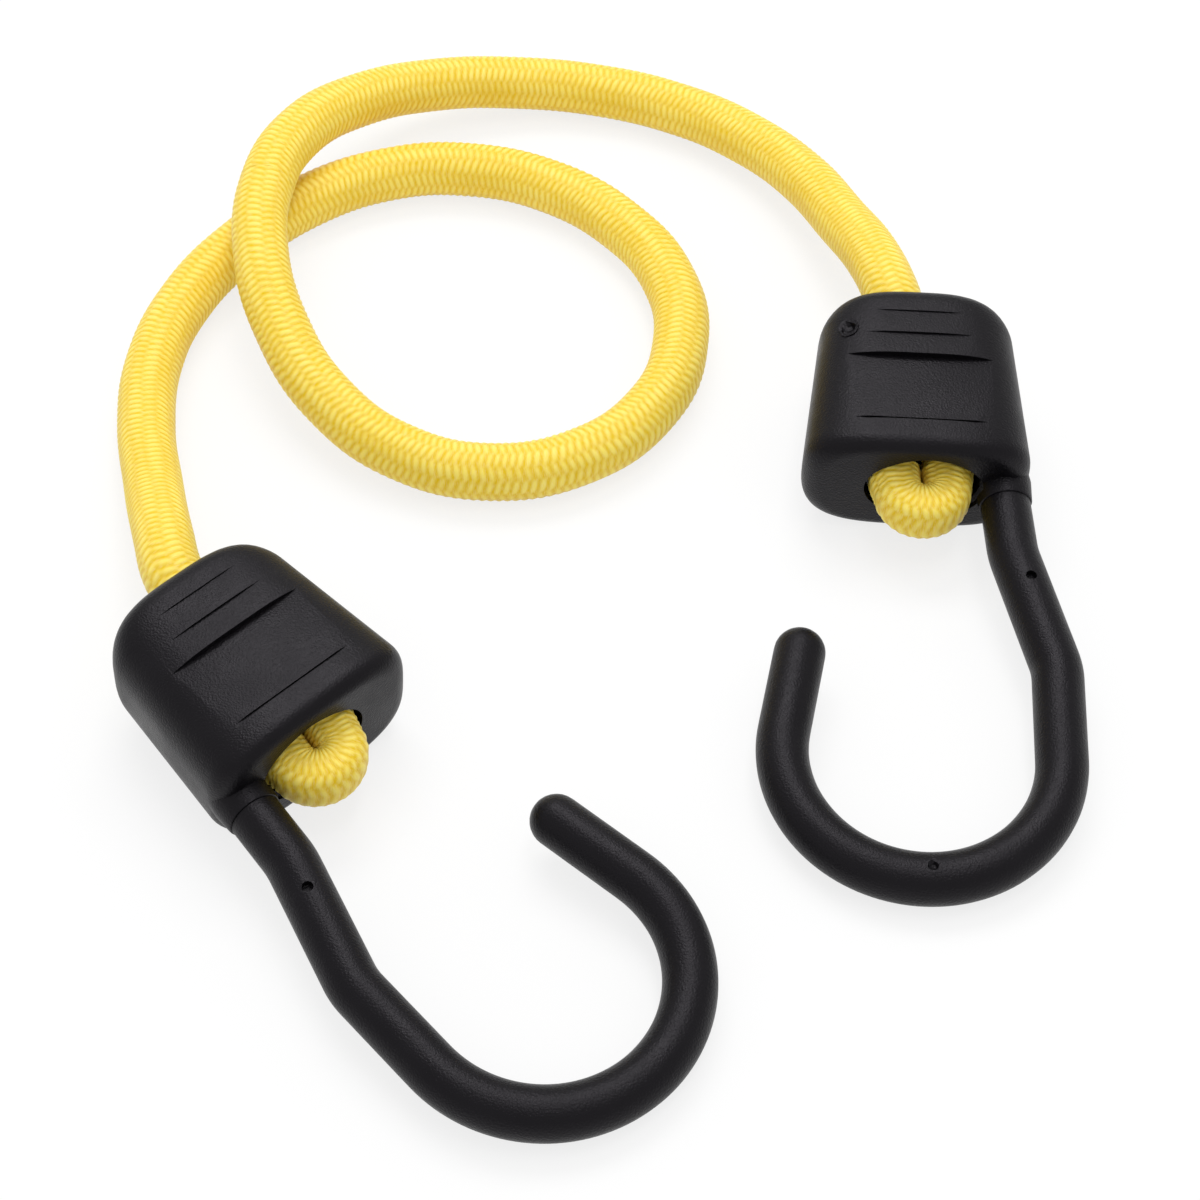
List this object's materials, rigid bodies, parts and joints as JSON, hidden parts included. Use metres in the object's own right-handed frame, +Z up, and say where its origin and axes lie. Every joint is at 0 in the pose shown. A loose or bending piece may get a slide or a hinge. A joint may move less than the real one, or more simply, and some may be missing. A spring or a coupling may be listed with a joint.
{
  "type": "bungee cord",
  "caption": "Elastic braided cord lying in a loop, with a swivelling open hook in a moulded block on each end, for tying down loads.",
  "frame": {"origin": "on the surface that the cord lies on, under the middle of the box round the two hooks", "axes": "+Z up from that surface, +Y from the hooks towards the loop of the cord, +X from the left hook to the right one"},
  "size_m": [0.135, 0.1943, 0.0217],
  "materials": {
    "yellow_braid": "tight yellow braid with fine chevrons",
    "rubber_strands": "bundle of pale rubber strands",
    "black_plastic": "satin black moulding with a fine grain",
    "steel_rod": "drawn steel"
  },
  "bodies": {
    "cord": {"cord_cover": "yellow_braid", "cord_core": "rubber_strands", "left_fold_cover": "yellow_braid", "left_fold_core": "rubber_strands", "left_clamp": "steel_rod"},
    "left_hook": {"left_block": "black_plastic", "left_hook_sleeve": "black_plastic", "left_hook_rod": "steel_rod"},
    "right_cord_end": {"right_fold_cover": "yellow_braid", "right_fold_core": "rubber_strands", "right_clamp": "steel_rod"},
    "right_hook": {"right_block": "black_plastic", "right_hook_sleeve": "black_plastic", "right_hook_rod": "steel_rod"}
  },
  "joints": [
    {"name": "left_swivel", "type": "hinge", "parent": "cord", "child": "left_hook", "pos_m": [-0.0552, 0.0115, 0.01262], "axis": [-0.6084, 0.7872, 0.1009], "range_deg": [-180, 180]},
    {"name": "stretch", "type": "slide", "parent": "cord", "child": "right_cord_end", "axis": [0.0454, -0.999, 0], "range_m": [0, 0.2], "stiffness_N_per_m": 350, "deforming": ["cord_cover", "cord_core"]},
    {"name": "right_swivel", "type": "hinge", "parent": "right_cord_end", "child": "right_hook", "pos_m": [0.0433, 0.0631, 0.01262], "axis": [-0.0451, 0.9939, 0.1009], "range_deg": [-180, 180]}
  ]
}
